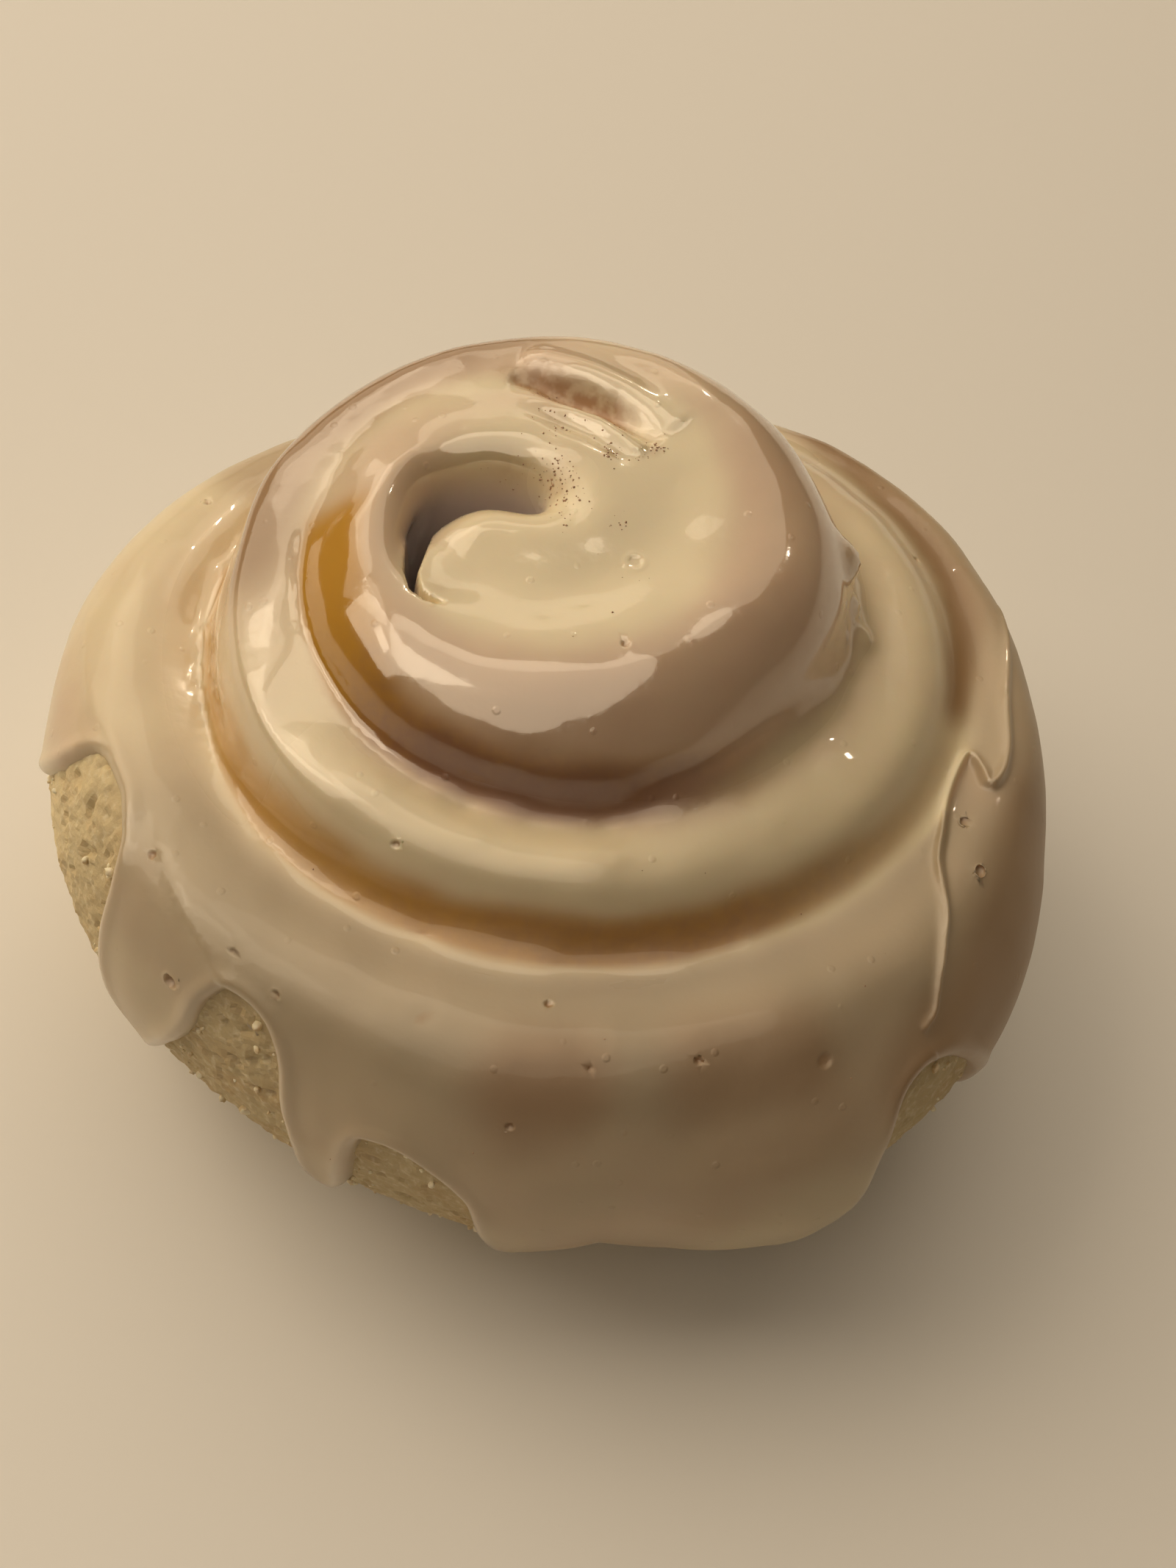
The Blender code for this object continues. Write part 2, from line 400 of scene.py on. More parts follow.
# Behind the hollow the outermost seam of the dome has torn open, and its far side is a round ridge. These
# are its line in plan, and at each point of it its depth, and the heights of the ridge and the near fold.
SLIT = np.array((
    (-10.9, 20.0), (-10.0, 19.8), (-8.1, 19.7), (-5.8, 19.0), (-3.5, 18.4), (-0.5, 17.5), (1.9, 16.3),
    (4.2, 15.0), (5.0, 14.4),
)) * MM
SLIT_DEPTH = np.array((0, 0.5, 1.1, 1.5, 1.6, 1.4, 1.0, 0.5, 0)) * MM
RIDGE_HEIGHT = np.array((0, 0.35, 0.8, 1.0, 1.1, 1.0, 0.8, 0.4, 0)) * MM
FOLD_HEIGHT = np.array((0, 0, 0.1, 0.35, 0.6, 0.7, 0.6, 0.35, 0)) * MM
SLIT_WIDTH = 1.1 * MM
SLIT_GRAIN = 1.1 * MM
SLIT_ROUGHNESS = 0.07 * MM
RIDGE_OFF = 2.9 * MM
RIDGE_WIDTH = 1.6 * MM
FOLD_OFF = -2.1 * MM
FOLD_WIDTH = 0.85 * MM
FOLD_DIP = 0.6
FOLD_DIP_OFF = -3.9 * MM
# The gap between the knob and the hollow's near rim, which closes towards the front.
GAP = np.array((
    (-15.6, 2.4), (-15.4, -2.0), (-15.2, -5.0), (-14.3, -7.2), (-13.0, -8.0), (-11.4, -8.1),
)) * MM
GAP_DEPTH = np.array((5, 7, 5.5, 3.5, 2.2, 0)) * MM
GAP_WIDTH = np.array((2.6, 2.2, 1.6, 1.3, 1.1, 0.8)) * MM
for track, reaches in ((SLIT, (5.4 * MM, 2.4 * MM)), (GAP, (2.4 * MM, 1.6 * MM))):
    for reach in reaches:
        spots = points(glaze)
        off = off_path(spots[:, :2], track)[0]
        subdivide(glaze, (np.abs(off) < reach) & (spots[:, 2] > 50 * MM), 1.0)
spots = points(glaze)
off, where = off_path(spots[:, :2], SLIT)
slit_z = along(RIDGE_HEIGHT, where) * bell(off, RIDGE_OFF, RIDGE_WIDTH)
slit_z -= along(SLIT_DEPTH, where) * bell(off, -SLIT_ROUGHNESS * mottle(spots, SLIT_GRAIN), SLIT_WIDTH)
fold = bell(off, FOLD_OFF, FOLD_WIDTH) - FOLD_DIP * bell(off, FOLD_DIP_OFF, FOLD_WIDTH)
slit_z += along(FOLD_HEIGHT, where) * fold
spots[:, 2] += slit_z * ease(spots[:, 2], 54 * MM, 57 * MM)
off, where = off_path(spots[:, :2], GAP)
width = along(GAP_WIDTH, where) / 2
deep = ease(np.abs(off), width, width * 0.3) * ease(spots[:, 2], 50 * MM, 54 * MM)
spots[:, 2] -= deep * along(GAP_DEPTH, where)
put(glaze, spots)

# It never lies quite even: it follows the dough's swellings and has set in low waves.
WAVES = ((15, 0.32), (6.5, 0.16), (3.4, 0.05))
spots = points(glaze)
put(glaze, spots + normals(glaze) * layered(spots, WAVES, 0.1)[:, None])

# Its lower edge: angle round the roll, and angle round the outer turn's own middle (90 is its top, 0 its
# widest part and -60 its foot).
EDGE = (
    (0, 6), (4, 8), (9, -4), (15, -34), (24, -44), (33, -26), (40, 4), (48, 12), (56, -8), (64, -38),
    (75, -30), (84, 0), (92, 15), (101, 5), (110, -28), (121, -44), (132, -28), (140, 2), (150, 12),
    (160, -8), (168, -34), (178, -38), (187, -22), (194, 0), (200.9, 18.1), (205.6, 36.5), (207.3, 46.1),
    (209.1, 54.9), (214.6, 56.7), (217.7, 54.9), (220.5, 51.2), (222.2, 44.6), (222.9, 36.1),
    (223.1, 7.9), (223.4, -12), (226, -24), (230.0, -23), (234.6, 1.3), (237.4, 17.9), (238.9, 34.8),
    (239.9, 40.7), (241.3, 45.2), (244.3, 45.2), (246.7, 41.9), (248.6, 33.3), (249.8, 16.1),
    (250.8, 4.8), (251.6, -22), (253.4, -36), (255.6, -36), (257.6, -20), (258.4, 5), (259.2, 19.4),
    (260.9, 22.2), (263.3, 22), (266.1, 18.3), (268.9, 12.5), (270.8, 5), (272.1, -14.6), (273.6, -34),
    (277, -46), (281, -40), (286, -36), (291, -42), (297, -50), (303, -48), (306.5, -32), (308.4, -17.4),
    (310.8, -10), (312, 5), (313.8, 16), (315.4, 23), (317.4, 27.5), (320.4, 28), (324.5, 21),
    (328.5, 3), (331, -22), (338, -40), (346, -32), (353, -10), (360, 6),
)
# Thicker glaze that has run over thinner glaze: the line where it ends, in the same angles as EDGE, with
# the thicker glaze on the left of the line's direction, and the step and the bead along it.
OVERRUNS = (
    (
        (
            (320.2, 38), (321.2, 38.5), (322.8, 40.2), (325, 46.2), (328, 51.9), (331.2, 56.6),
            (333.8, 61), (337.1, 65), (341.5, 67.5), (346, 69.5), (350.5, 69.5), (354.5, 67.5),
            (353, 64.5), (350.8, 62.5), (351, 60), (353.5, 58.3), (357, 57.8), (361.2, 58.3),
            (366.1, 58), (374.2, 54), (382, 50),
        ),
        1.0 * MM, 0.6 * MM,
    ),
    (
        ((220, 62), (224.6, 59.5), (227.7, 57.1), (231.1, 54.7), (234.9, 51.5), (238.6, 48.1), (242, 46)),
        0.55 * MM, 0.1 * MM,
    ),
    (((186, 50), (194, 53), (201.4, 55), (206, 58), (211, 60)), 0.4 * MM, 0.15 * MM),
)
OVERRUN_WIDTH = 0.8 * MM
LIP_MIDDLE = 0.4 * MM


def from_line(found, line, closed=False):
    """Distance of points on the outer turn from a smooth line through such angles, positive on the line's
    left, and how far along the line the nearest place is, from 0 to 1."""
    to_length = np.radians(1) * np.array((WALL_RADIUS, TURN_THICKNESS))
    knots = np.array(line, float)
    if closed:
        knots = np.vstack([knots[-4:-1] - (360, 0), knots, knots[1:4] + (360, 0)])
    angle, tilt = rounds(found)
    middle = (knots[0, 0] + knots[-1, 0]) / 2
    angle = (angle - middle + 180) % 360 - 180 + middle
    steps = np.linspace(0, 1, 6)[:-1, None]
    bent = []
    for i in range(len(knots) - 1):
        a, b, c, d = (knots[min(max(k, 0), len(knots) - 1)] for k in (i - 1, i, i + 1, i + 2))
        curve = (2 * a - 5 * b + 4 * c - d) + steps * (3 * b - a - 3 * c + d)
        bent.append(b + 0.5 * steps * ((c - a) + steps * curve))
    path = np.vstack([*bent, knots[-1:]]) * to_length
    off, where = off_path(np.stack([angle, tilt], 1) * to_length, path)
    return off, where / (len(path) - 1)


def lower_edge(found):
    return from_line(found, EDGE, closed=True)[0]


for reach in (2.6 * MM, 1.2 * MM):
    spots = points(glaze)
    near_overrun = np.abs(from_line(spots, OVERRUNS[0][0])[0]) < 0.85 * reach
    subdivide(glaze, (np.abs(lower_edge(spots) - LIP_MIDDLE) < reach) | near_overrun, 1.0)

# Air has left pinholes and a few burst bubbles: place, radius, depth and the height of the ring round it.
HOLES = (
    ((-29.9, -38.1, 35.9), 0.75, 0.6, 0.08), ((3.1, -46.9, 37.5), 0.45, 0.3, 0.04),
    ((18.6, -39.1, 42.2), 0.4, 0.35, 0.05), ((30.6, -36.2, 40.6), 0.9, 0.2, 0.0),
    ((4.4, -36.5, 42.9), 0.4, 0.35, 0.05), ((-19.4, -40.1, 41.4), 0.45, 0.4, 0.05),
    ((-11.4, -27.6, 49.8), 0.42, 0.33, 0.04), ((4.6, 0.7, 60.0), 0.8, 0.05, 0.06),
    ((5.1, -9.2, 61.0), 0.45, 0.3, 0.05), ((43.0, -13.7, 42.7), 0.5, 0.4, 0.08),
    ((40.9, -8.3, 42.6), 0.42, 0.33, 0.04), ((-21.5, -43.5, 38.5), 0.35, 0.3, 0.0),
    ((-24.0, -37.5, 43.0), 0.3, 0.3, 0.0), ((9.0, -41.5, 41.8), 0.3, 0.25, 0.0),
    ((-33.5, -29.5, 43.3), 0.4, 0.3, 0.0), ((-6.0, -40.0, 42.2), 0.3, 0.25, 0.0),
    ((-14.5, 34.0, 44.0), 0.5, 0.4, 0.1), ((12.0, 38.5, 43.5), 0.4, 0.35, 0.1),
    ((34.5, 24.0, 43.0), 0.4, 0.3, 0.0), ((-40.5, 14.0, 41.5), 0.42, 0.33, 0.04),
    ((-2.5, 50.5, 38.0), 0.5, 0.4, 0.1), ((-30.0, 36.0, 37.0), 0.45, 0.4, 0.05),
)


def skin(piece):
    """A piece's surface, for finding the nearest place on it."""
    faces = [tuple(face.vertices) for face in piece.data.polygons]
    return BVHTree.FromPolygons(points(piece).tolist(), faces)


def nearness(found):
    """How far each point is from the nearest hole, in radii of that hole, and which hole it is."""
    holes = zip(hole_middles, hole_radii)
    far = [np.linalg.norm(found - middle, axis=1) / radius for middle, radius in holes]
    return np.min(far, 0), np.argmin(far, 0)


surface = skin(glaze)
hole_middles = [np.array(surface.find_nearest(Vector(at) * MM)[0]) for at, _, _, _ in HOLES]
hole_radii, hole_depths, hole_rings = (np.array(column) * MM for column in list(zip(*HOLES))[1:])
for reach in (3.2, 2.4):
    subdivide(glaze, nearness(points(glaze))[0] < reach, 1.0)
spots, facing = points(glaze), normals(glaze)
far, which = nearness(spots)
dent = hole_rings[which] * bell(far, 1.15, 0.35) - hole_depths[which] * ease(far, 1.0, 0.45)
put(glaze, spots + facing * dent[:, None])
pinholes = 0.75 * np.minimum(hole_depths[which] / (0.35 * MM), 1) * ease(far, 1.0, 0.4)

# Its edge is a round lip, and below the edge it is drawn in under the bare dough. This is how much thicker
# than elsewhere it is low down on the outside, in millimetres, by angle round the roll.
RUN = (
    (0, 0), (24, 0.8), (44, 0), (64, 0.6), (90, 0), (121, 0.9), (146, 0), (175, 0.4), (200, 0.1),
    (226, 0), (244, 0.2), (255, 0.5), (264, 0.1), (277, 0.8), (286, -0.5), (292, 0.2), (299, 1.6),
    (305, 2.5), (309, 2.2), (314, 1.0), (320, 0.2), (330, 0.4), (340, 0.2), (360, 0),
)
LIP_WIDTH = 1.1 * MM
LIP_BEAD = 0.25 * MM
LIP_BEAD_OFF = 1.2 * MM
LIP_BEAD_WIDTH = 0.9 * MM
RIM_OFF = 0.9 * MM
RIM_WIDTH = 1.0 * MM
GLAZE_UNDER_BARE_DOUGH = 0.6 * MM
spots, facing = points(glaze), normals(glaze)
angle, tilt = rounds(spots)
inside = lower_edge(spots)
thick = GLAZE_THICKNESS + read_off(RUN, angle) * MM * ease(tilt, 38, -10)
overrun_by = np.zeros(len(spots))
rim = bell(inside, RIM_OFF, RIM_WIDTH)
for line, step, bead in OVERRUNS:
    off, where = from_line(spots, line)
    ends = np.sin(np.pi * np.clip(where, 0, 1)) ** 0.4
    below = ease(off, -OVERRUN_WIDTH / 2, OVERRUN_WIDTH / 2) - 1
    below *= ease(-off, 14 * MM, 6 * MM) * (off > -14 * MM)
    thick += ends * (0.5 * step * below + bead * bell(off, 0.4 * OVERRUN_WIDTH, 0.6 * OVERRUN_WIDTH))
    rim = np.maximum(rim, ends * bell(off, 0.4 * OVERRUN_WIDTH, 0.8 * OVERRUN_WIDTH))
    beside_it = ease(-off, -0.3 * OVERRUN_WIDTH, 0.6 * OVERRUN_WIDTH) * ease(-off, 13 * MM, 5 * MM)
    overrun_by = np.maximum(overrun_by, ends * np.minimum(step / (0.75 * MM), 1) * beside_it)
lip = np.sqrt(1 - (1 - np.clip(inside / LIP_WIDTH, 0, 1)) ** 2)
thick += LIP_BEAD * bell(inside, LIP_BEAD_OFF, LIP_BEAD_WIDTH) * (inside > 0)
layer = np.where(inside > 0, thick * lip, -GLAZE_UNDER_BARE_DOUGH * ease(-inside, 0, 0.5 * MM))
put(glaze, spots + facing * ((layer - GLAZE_THICKNESS) * ease(tilt, 75, 66))[:, None])

# What shows of the crust under it. The outer wall of the turns comes first: running angle, which counts on
# past 360 as the strip winds outwards, and radius in millimetres.
WALLS = (
    (470, 14.4), (500, 17.0), (525, 20.4), (545, 23.4), (590, 25.6), (630, 25.2), (680, 24.8),
    (730, 28.0), (780, 29.5), (830, 31.0), (870, 33.0), (910, 34.4), (950, 35.4), (990, 33.8),
    (1020, 34.0), (1050, 36.4), (1090, 40.0), (1120, 41.0), (1150, 41.2), (1180, 41.8), (1205, 43.2),
    (1230, 46.6), (1255, 50.2), (1275, 52.6), (1305, 56), (1440, 60), (2000, 60),
)
# At such angles, how much of the crust shows through the glaze on the steep side above each groove, how
# dark it is there, baked and with painted shade low down by the groove, most on the dome's front, and how
# high above the groove it shows.
CRUST_SEEN = (
    (470, 0), (542, 0), (552, 0.9), (577, 1), (600, 0.95), (640, 0.9), (668, 0.6), (690, 0.3),
    (720, 0.25), (760, 0.3), (810, 0.3), (870, 0.4), (900, 0.75), (945, 0.7), (990, 0.95),
    (1010, 0.95), (1050, 0.5), (1080, 0.2), (1105, 0.15), (1140, 0.2), (1170, 0.3), (1220, 0.3),
    (1260, 0.1), (2000, 0.1),
)
CRUST_BAKED_AND_SHADED = (
    (470, 0), (560, 0.0), (580, 0.1), (595, 0.45), (610, 0.85), (630, 1), (680, 0.8), (720, 0.7),
    (810, 0.5), (880, 0.1), (900, 0.05), (945, 0.15), (990, 0.35), (1030, 0.5), (1080, 0.3),
    (1105, 0.1), (1170, 0.3), (2000, 0.3),
)
CRUST_REACH = (
    (470, 5), (555, 7), (577, 8), (600, 7), (630, 7), (700, 6), (810, 5), (890, 7.5), (930, 7.5),
    (990, 6.5), (1080, 4), (1105, 4), (1170, 4), (2000, 4),
)
# At such angles too: how high the groove is, how much the thin glaze on the crests lets the crust through,
# and how glossy the glaze is.
GROOVE_HEIGHT = (
    (470, 58.5), (500, 58), (545, 56.0), (575, 54.0), (600, 51.0), (630, 49.5), (680, 47.7), (730, 46),
    (780, 42), (820, 38.4), (850, 37.6), (880, 39.6), (910, 42.4), (950, 42.4), (990, 41.2),
    (1080, 41), (1120, 39.2), (1160, 35), (1200, 30), (2000, 0),
)
GLAZE_THIN_ON = (
    (470, 0.5), (540, 0.6), (600, 0.75), (640, 0.85), (720, 0.8), (780, 0.6), (810, 0.5), (850, 0.8),
    (900, 0.7), (950, 0.2), (990, 0.1), (1050, 0.15), (1100, 0.3), (1150, 0.4), (1200, 0.3),
    (1240, 0.15), (1290, 0.3), (1330, 0.5), (1390, 0.7), (1420, 0.6), (1440, 0.5), (2000, 0.3),
)
GLOSS = ((470, 1), (925, 1), (965, 0.45), (1010, 0.25), (1090, 0.35), (1150, 0.8), (1190, 1), (2000, 1))
FIRST_WALL = 470
OUTER_TURN = 1200
BEYOND_WALLS = 1990
DRIFT_FROM = 10 * MM
DRIFT_TO = 34 * MM
# How brown the outer turn is under its glaze, by angle round the roll: partly crust showing through, partly
# painted shade, highest in front, where the roll lies in shade. The bare dough reads it for its painted shade
# too.
BROWNED_AND_SHADED = (
    (0, 0.75), (40, 0.5), (120, 0.4), (170, 0.1), (196, 0.15), (208, 0.25), (220, 0.8), (232, 1), (250, 1),
    (290, 1), (330, 1), (360, 0.75),
)
# Places where the brown dough shows softly through the glaze: a line in plan, its width, how strongly,
# and the lowest and highest such place, in millimetres.
BLUSHES = (
    (((22, 44), (30.6, 34.5), (36, 27.5), (38.6, 22), (39.8, 16), (39.8, 11), (38.5, 5)), 2.8, 0.97, 36, 44),
    (((3.0, -43.5), (7.5, -42.5)), 5.0, 0.9, 30, 44),
    (((19, -38.5), (27, -36)), 5.0, 0.7, 30, 44),
    (((23, -43), (30, -38.5)), 5.5, 0.3, 22, 43),
    (((-38, 20), (-34, 26), (-28, 31)), 5.0, 0.5, 36, 46),
    (((50, -4), (49, -12), (47.5, -19), (44, -27), (40, -34)), 5.0, 0.75, 18, 43),
    (((14, 3), (17, 12), (14, 20)), 5.0, 0.25, 58, 64),
    (((-32, -2), (-30.5, 8), (-25.5, 18), (-19, 24), (-14, 27)), 6.0, 0.8, 50, 64),
)
# The dull floor of the hollow, and cinnamon that has stained the glaze: places and sizes.
DULL_PLACE = (-3.0, 8.6, 58.8)
DULL_SIZE = 4.2
STAINS = (
    ((-4.0, 8.4, 60.2), 1.7), ((0.6, 12.2, 61.8), 0.9), ((4.4, 13.6, 61.8), 0.8),
    ((-5.5, 14.8, 61.8), 1.3), ((-8.5, 11.0, 59.0), 1.5), ((-12.4, -6.0, 58.8), 1.2),
)
STAIN = 0.35


def walls_outside(found):
    """The running angle of the wall next outside each point, how far off it is, and the way out to it."""
    drift = ease(polar(found, ROLL_MIDDLE)[1], DRIFT_FROM, DRIFT_TO)[:, None]
    middle = HOLLOW_MIDDLE + (ROLL_MIDDLE - HOLLOW_MIDDLE) * drift
    angle, radius = polar(found, middle)
    running = np.full(len(found), float(BEYOND_WALLS))
    beyond = np.full(len(found), 60 * MM)
    for turn in (1440, 1080, 720, 360):
        wall = read_off(WALLS, angle + turn) * MM
        high = ease(found[:, 2] - read_off(GROOVE_HEIGHT, angle + turn) * MM, 0.2 * MM, 1.4 * MM)
        inside = (radius < wall + (1.5 + 1.8 * high) * MM) & (angle + turn > FIRST_WALL)
        running = np.where(inside, angle + turn, running)
        beyond = np.where(inside, wall - radius, beyond)
    return running, beyond, (found[:, :2] - middle) / radius[:, None]


def evened(piece, values, iterations):
    """Values at a piece's points, averaged with their neighbours."""
    edges = np.zeros(len(piece.data.edges) * 2, np.int32)
    piece.data.edges.foreach_get("vertices", edges)
    one, other = edges.reshape(-1, 2).T
    count = np.bincount(one, minlength=len(values)) + np.bincount(other, minlength=len(values))
    for _ in range(iterations):
        around = np.bincount(one, values[other], len(values)) + np.bincount(other, values[one], len(values))
        values = 0.5 * values + 0.5 * around / count
    return values


def keep(piece, name, values, iterations=0):
    """Values at a piece's points, evened out and kept for its material."""
    values = evened(piece, values, iterations).astype(np.float32)
    piece.data.attributes.new(name, "FLOAT", "POINT").data.foreach_set("value", values)


spots, facing = points(glaze), normals(glaze)
running, beyond, outwards = walls_outside(spots)
steep = np.sum(facing[:, :2] * outwards, 1)
angle, radius = polar(spots, HOLLOW_MIDDLE)
around, tilt = rounds(spots)
uneven = mottle(spots * (1, 1, 1.6), 7 * MM)
dough_under = copy_of("dough", "dough_under")
round_off(dough_under, 2)
under = skin(dough_under)
bpy.data.objects.remove(dough_under)
pooled = ease(np.array([under.find_nearest(Vector(spot))[3] for spot in spots]), 1.3 * MM, 3.0 * MM)
flank = sector(angle, 140, 204, 30) * ease(radius, 22 * MM, 25 * MM) * ease(spots[:, 2], 50 * MM, 53 * MM)
pooled = evened(glaze, pooled * (1 - 0.8 * flank), 6)
above = spots[:, 2] - read_off(GROOVE_HEIGHT, running) * MM
reach = read_off(CRUST_REACH, running) * MM * (1 + 0.25 * uneven)
crust = read_off(CRUST_SEEN, running) * ease(above, reach * 1.1, reach * 0.65) * ease(steep, 0.12, 0.42)
crust *= ease(above, 0, 0.8 * MM) * ease(beyond, 9.5 * MM, 7.5 * MM)
keep(glaze, "crust", np.clip(crust, 0, 1), 6)
# Darker crust low on the flank, next to the groove, and most on the dome's front: baked, and painted shade.
baked_and_shaded = read_off(CRUST_BAKED_AND_SHADED, running) * ease(above, reach * 1.6, reach * 0.4)
keep(glaze, "baked_and_shaded", np.clip(baked_and_shaded + 0.15 * uneven, 0, 1), 6)
blush = np.zeros(len(spots))
for track, width, strength, lowest, highest in BLUSHES:
    off = off_path(spots[:, :2], np.array(track) * MM)[0]
    there = ease(np.abs(off) * (1 - 0.25 * uneven), width * 1.3 * MM, width * 0.3 * MM)
    there *= ease(spots[:, 2], (lowest - 1) * MM, lowest * MM)
    there *= ease(spots[:, 2], (highest + 1) * MM, highest * MM)
    blush = np.maximum(blush, strength * there)
keep(glaze, "blush", blush, 6)
thin = read_off(GLAZE_THIN_ON, running) * (1 - pooled)
thin *= 1 - sector(angle, 222, 420, 30) * ease(radius, 19 * MM, 15 * MM)
thin *= 0.4 + 0.6 * ease(radius, 9 * MM, 13 * MM)
keep(glaze, "thin", np.maximum(thin, overrun_by), 8)
# A darker brown on the outer turn's sides: crust through the glaze, and painted shade on its front.
browned_and_shaded = read_off(BROWNED_AND_SHADED, around) * ease(tilt, 112, 80) * (running > OUTER_TURN)
browned_and_shaded *= (0.9 + 0.2 * uneven) * (1 - 0.35 * ease(tilt, 60, 25))
keep(glaze, "browned_and_shaded", np.clip(browned_and_shaded, 0, 1), 12)
dull_outside = (running > OUTER_TURN) * ease(tilt, 84, 62) * (0.75 + 0.25 * sector(around, 225, 400, 40))
gloss = (1 - 0.86 * dull_outside) * read_off(GLOSS, running)
gloss *= 1 - ease(above, 3 * MM, 0.5 * MM) * np.interp(running, (600, 622, 800, 850), (0, 0.9, 0.9, 0))
gloss *= 1 - 0.85 * near(spots, DULL_PLACE, DULL_SIZE, 4)
off, where = off_path(spots[:, :2], SLIT)
spice = bell(off, 0.35 * MM, 1.3 * MM, 3) * (spots[:, 2] > 50 * MM)
spice *= np.interp(where, (0, 1, 2, 5, 6, 8), (0.4, 0.9, 1, 1, 0.4, 0))
gloss = np.maximum(evened(glaze, gloss, 10), 0.6 * evened(glaze, rim, 2)) * (1 - 0.85 * spice)
keep(glaze, "gloss", gloss)
for middle, size in STAINS:
    spice = np.maximum(spice, STAIN * near(spots, middle, size, 2))
keep(glaze, "spice", np.clip(np.maximum(spice, pinholes), 0, 1))
# A greyer colour in the hollow: painted shade, where little light reaches.
keep(glaze, "hollow", ease(radius, 19 * MM, 16 * MM) * ease(spots[:, 2], 60 * MM, 54 * MM))


class Socket:
    """An output in a material, so that shader maths is written as Python."""

    def __init__(self, tree, output):
        self.tree = tree
        self.output = output

    def node(self, kind, settings, inputs, output=0):
        """Adds a node with its settings, and with values or outputs on its sockets."""
        added = self.tree.nodes.new("ShaderNode" + kind)
        for name, value in settings.items():
            setattr(added, name, value)
        for name, value in inputs.items():
            if isinstance(value, Socket):
                self.tree.links.new(value.output, added.inputs[name])
            else:
                added.inputs[name].default_value = value
        return Socket(self.tree, added.outputs[output])

    def maths(self, operation, first, second):
        return self.node("Math", {"operation": operation}, {0: first, 1: second})

    def __add__(self, other):
        return self.maths("ADD", self, other)

    __radd__ = __add__

    def __mul__(self, other):
        return self.maths("MULTIPLY", self, other)

    __rmul__ = __mul__

    def __sub__(self, other):
        return self.maths("SUBTRACT", self, other)

    def __rsub__(self, other):
        return self.maths("SUBTRACT", other, self)

    def kept(self, name):
        """Values that were kept at the piece's points."""
        return self.node("Attribute", {"attribute_name": name}, {}, 2)

    def grain(self, size, detail, roughness=0.5):
        """Noise from 0 to 1 with grains of about this size."""
        inputs = {"Vector": self, "Scale": 1 / size, "Detail": detail, "Roughness": roughness}
        return self.node("TexNoise", {}, inputs)

    def ramp(self, start, end):
        """0 up to start and 1 from end on."""
        inputs = {"Value": self, "From Min": start, "From Max": end}
        return self.node("MapRange", {"interpolation_type": "SMOOTHSTEP"}, inputs)

    def plain(self, colour):
        """One colour all over, to be tinted."""
        added = self.node("RGB", {}, {})
        added.output.default_value = (*colour, 1)
        return added

    def tint(self, share, colour):
        """This colour with a share of another."""
        other = colour if isinstance(colour, Socket) else (*colour, 1)
        return self.node("Mix", {"data_type": "RGBA"}, {0: share, 6: self, 7: other}, 2)

    def bump(self, height, distance):
        return self.node("Bump", {}, {"Height": height, "Distance": distance})


def finish(piece, name):
    """A new material on a piece, as its shader and its Object coordinates."""
    material = bpy.data.materials.new(name)
    material.use_nodes = True
    piece.data.materials.clear()
    piece.data.materials.append(material)
    tree = material.node_tree
    place = tree.nodes.new("ShaderNodeTexCoord")
    return tree.nodes["Principled BSDF"], Socket(tree, place.outputs["Object"])


def feed(shader, name, value):
    shader.id_data.links.new(value.output, shader.inputs[name])


def translucent(shader, weight, radius, scale):
    """Light goes in at the surface and comes out beside that place, red the furthest."""
    shader.inputs["Subsurface Weight"].default_value = weight
    shader.inputs["Subsurface Radius"].default_value = radius
    shader.inputs["Subsurface Scale"].default_value = scale


GLAZE_POOLED = (0.80, 0.69, 0.47)
GLAZE_THIN = (0.655, 0.465, 0.335)
# A darker brown for the outer turn: crust through the glaze, with painted shade in front.
GLAZE_OVER_BROWN_AND_SHADE = (0.385, 0.305, 0.195)
# A grey painted shade for the hollow.
GLAZE_SHADE_IN_HOLLOW = (0.68, 0.60, 0.58)
BLUSH = (0.32, 0.19, 0.09)
CRUST_LIGHT = (0.53, 0.275, 0.035)
# The darkest crust, darker still for painted shade at the foot of the flanks.
CRUST_DARK_AND_SHADED = (0.28, 0.138, 0.082)
SPICE = (0.36, 0.18, 0.06)
LIGHT_SPREAD = (1.0, 0.6, 0.3)
PIMPLES_APART = 3.6 * MM
GLAZE_BUMP = 0.038 * MM
shader, place = finish(glaze, "glaze")
gloss = place.kept("gloss")
feed(shader, "Roughness", 0.62 - 0.5 * gloss)
feed(shader, "Coat Weight", gloss)
shader.inputs["Coat Roughness"].default_value = 0.03
translucent(shader, 0.25, LIGHT_SPREAD, 2 * MM)
blotches = place.grain(9 * MM, 3) - 0.5
freckles = place.grain(1.3 * MM, 2)
colour = place.plain(GLAZE_POOLED).tint((place.kept("thin") + blotches * 0.5).ramp(0, 1), GLAZE_THIN)
# Browner glaze on the outer turn: crust showing through, and painted shade in front.
colour = colour.tint(place.kept("browned_and_shaded"), GLAZE_OVER_BROWN_AND_SHADE)
colour = colour.tint(place.kept("blush"), BLUSH)
crust = place.kept("crust")
# The crust darkens low on the flanks: baked, and painted shade.
darker_and_shaded = (place.kept("baked_and_shaded") + (freckles - 0.5) * 0.35).ramp(0, 1)
crust_colour = place.plain(CRUST_LIGHT).tint(darker_and_shaded, CRUST_DARK_AND_SHADED)
colour = colour.tint((crust + blotches * 0.25 * crust).ramp(0, 0.92), crust_colour)
